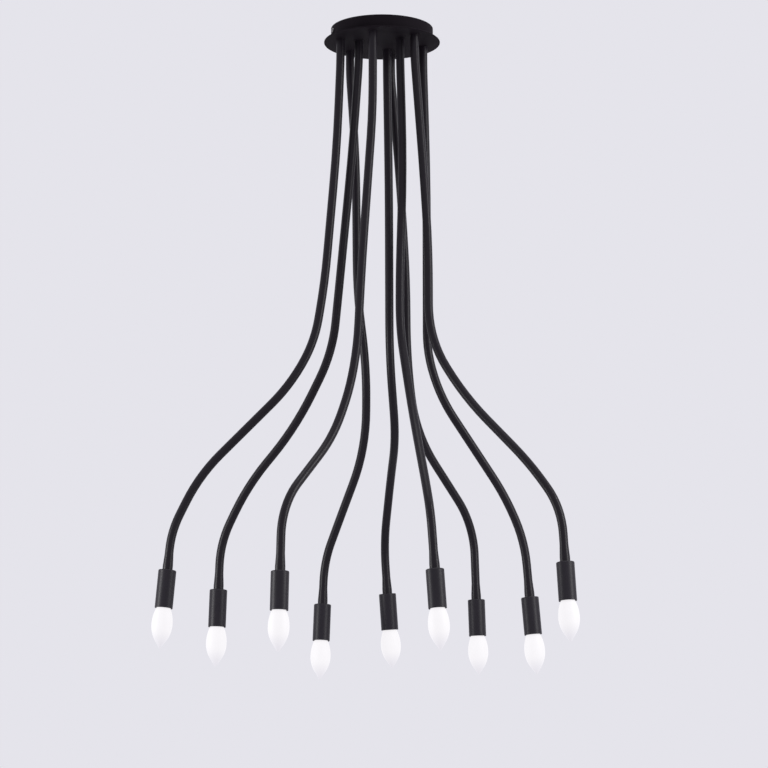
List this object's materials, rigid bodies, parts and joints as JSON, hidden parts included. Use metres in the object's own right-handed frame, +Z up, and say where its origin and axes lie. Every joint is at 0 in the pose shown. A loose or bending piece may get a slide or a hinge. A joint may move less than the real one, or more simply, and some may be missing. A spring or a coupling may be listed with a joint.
{
  "type": "multi-arm ceiling light",
  "caption": "Black ceiling light: bent steel tubes hang from a shallow round canopy and splay outwards, each ending in a sleeve, a lampholder and a frosted candle bulb.",
  "frame": {"origin": "middle of the crossbar's top face, on the ceiling and on the canopy's axis", "axes": "+Z up into the ceiling, +X along the crossbar; the front is seen from a little left of -Y"},
  "size_m": [0.6662, 0.5917, 1.1074],
  "materials": {
    "black_paint": "satin",
    "matte_black_paint": "matte",
    "plated_steel": "satin",
    "brass": "satin",
    "nickel": "satin",
    "white_plastic": "matte",
    "black_plastic": "matte",
    "frosted_glass": "frosted"
  },
  "bodies": {
    "canopy": {"ceiling_crossbar": "plated_steel", "canopy_wall": "black_paint", "arm_plate": "black_paint", "side_screws": "plated_steel", "earth_screw": "brass", "terminal_block": "white_plastic"},
    "arm_1": {"arm_1_tube": "black_paint", "arm_1_nut": "plated_steel", "arm_1_sleeve": "matte_black_paint", "arm_1_lampholder": "black_plastic"},
    "bulb_1": {"bulb_1_cap": "nickel", "bulb_1_glass": "frosted_glass"},
    "arm_2": {"arm_2_tube": "black_paint", "arm_2_nut": "plated_steel", "arm_2_sleeve": "matte_black_paint", "arm_2_lampholder": "black_plastic"},
    "bulb_2": {"bulb_2_cap": "nickel", "bulb_2_glass": "frosted_glass"},
    "arm_3": {"arm_3_tube": "black_paint", "arm_3_nut": "plated_steel", "arm_3_sleeve": "matte_black_paint", "arm_3_lampholder": "black_plastic"},
    "bulb_3": {"bulb_3_cap": "nickel", "bulb_3_glass": "frosted_glass"},
    "arm_4": {"arm_4_tube": "black_paint", "arm_4_nut": "plated_steel", "arm_4_sleeve": "matte_black_paint", "arm_4_lampholder": "black_plastic"},
    "bulb_4": {"bulb_4_cap": "nickel", "bulb_4_glass": "frosted_glass"},
    "arm_5": {"arm_5_tube": "black_paint", "arm_5_nut": "plated_steel", "arm_5_sleeve": "matte_black_paint", "arm_5_lampholder": "black_plastic"},
    "bulb_5": {"bulb_5_cap": "nickel", "bulb_5_glass": "frosted_glass"},
    "arm_6": {"arm_6_tube": "black_paint", "arm_6_nut": "plated_steel", "arm_6_sleeve": "matte_black_paint", "arm_6_lampholder": "black_plastic"},
    "bulb_6": {"bulb_6_cap": "nickel", "bulb_6_glass": "frosted_glass"},
    "arm_7": {"arm_7_tube": "black_paint", "arm_7_nut": "plated_steel", "arm_7_sleeve": "matte_black_paint", "arm_7_lampholder": "black_plastic"},
    "bulb_7": {"bulb_7_cap": "nickel", "bulb_7_glass": "frosted_glass"},
    "arm_8": {"arm_8_tube": "black_paint", "arm_8_nut": "plated_steel", "arm_8_sleeve": "matte_black_paint", "arm_8_lampholder": "black_plastic"},
    "bulb_8": {"bulb_8_cap": "nickel", "bulb_8_glass": "frosted_glass"},
    "arm_9": {"arm_9_tube": "black_paint", "arm_9_nut": "plated_steel", "arm_9_sleeve": "matte_black_paint", "arm_9_lampholder": "black_plastic"},
    "bulb_9": {"bulb_9_cap": "nickel", "bulb_9_glass": "frosted_glass"}
  },
  "joints": [
    {"name": "arm_1_swivel", "type": "hinge", "parent": "canopy", "child": "arm_1", "pos_m": [-0.075, 0, -0.0251], "axis": [0, 0, 1], "range_deg": [-30, 30]},
    {"name": "bulb_1_unscrew", "type": "slide", "parent": "arm_1", "child": "bulb_1", "axis": [-0.0844, 0.0226, -0.9962], "range_m": [0, 0.036]},
    {"name": "arm_2_swivel", "type": "hinge", "parent": "canopy", "child": "arm_2", "pos_m": [-0.042, 0, -0.0251], "axis": [0, 0, 1], "range_deg": [-25, 30]},
    {"name": "bulb_2_unscrew", "type": "slide", "parent": "arm_2", "child": "bulb_2", "axis": [-0.0261, 0.0243, -0.9994], "range_m": [0, 0.036]},
    {"name": "arm_3_swivel", "type": "hinge", "parent": "canopy", "child": "arm_3", "pos_m": [-0.0375, -0.06495, -0.0251], "axis": [0, 0, 1], "range_deg": [-30, 30]},
    {"name": "bulb_3_unscrew", "type": "slide", "parent": "arm_3", "child": "bulb_3", "axis": [-0.0237, -0.0111, -0.9997], "range_m": [0, 0.036]},
    {"name": "arm_4_swivel", "type": "hinge", "parent": "canopy", "child": "arm_4", "pos_m": [-0.0375, 0.06495, -0.0251], "axis": [0, 0, 1], "range_deg": [-30, 20]},
    {"name": "bulb_4_unscrew", "type": "slide", "parent": "arm_4", "child": "bulb_4", "axis": [-0.0376, 0.0033, -0.9993], "range_m": [0, 0.036]},
    {"name": "arm_5_swivel", "type": "hinge", "parent": "canopy", "child": "arm_5", "pos_m": [0.021, 0.03637, -0.0251], "axis": [0, 0, 1], "range_deg": [-5, 10]},
    {"name": "bulb_5_unscrew", "type": "slide", "parent": "arm_5", "child": "bulb_5", "axis": [0.093, 0.0683, -0.9933], "range_m": [0, 0.036]},
    {"name": "arm_6_swivel", "type": "hinge", "parent": "canopy", "child": "arm_6", "pos_m": [0.021, -0.03637, -0.0251], "axis": [0, 0, 1], "range_deg": [-30, 30]},
    {"name": "bulb_6_unscrew", "type": "slide", "parent": "arm_6", "child": "bulb_6", "axis": [0.0603, -0.037, -0.9975], "range_m": [0, 0.036]},
    {"name": "arm_7_swivel", "type": "hinge", "parent": "canopy", "child": "arm_7", "pos_m": [0.0375, 0.06495, -0.0251], "axis": [0, 0, 1], "range_deg": [-20, 5]},
    {"name": "bulb_7_unscrew", "type": "slide", "parent": "arm_7", "child": "bulb_7", "axis": [0.0451, 0.0316, -0.9985], "range_m": [0, 0.036]},
    {"name": "arm_8_swivel", "type": "hinge", "parent": "canopy", "child": "arm_8", "pos_m": [0.075, 0, -0.0251], "axis": [0, 0, 1], "range_deg": [-30, 30]},
    {"name": "bulb_8_unscrew", "type": "slide", "parent": "arm_8", "child": "bulb_8", "axis": [0.0898, 0, -0.996], "range_m": [0, 0.036]},
    {"name": "arm_9_swivel", "type": "hinge", "parent": "canopy", "child": "arm_9", "pos_m": [0.0375, -0.06495, -0.0251], "axis": [0, 0, 1], "range_deg": [-30, 30]},
    {"name": "bulb_9_unscrew", "type": "slide", "parent": "arm_9", "child": "bulb_9", "axis": [0.0452, -0.0452, -0.998], "range_m": [0, 0.036]}
  ]
}
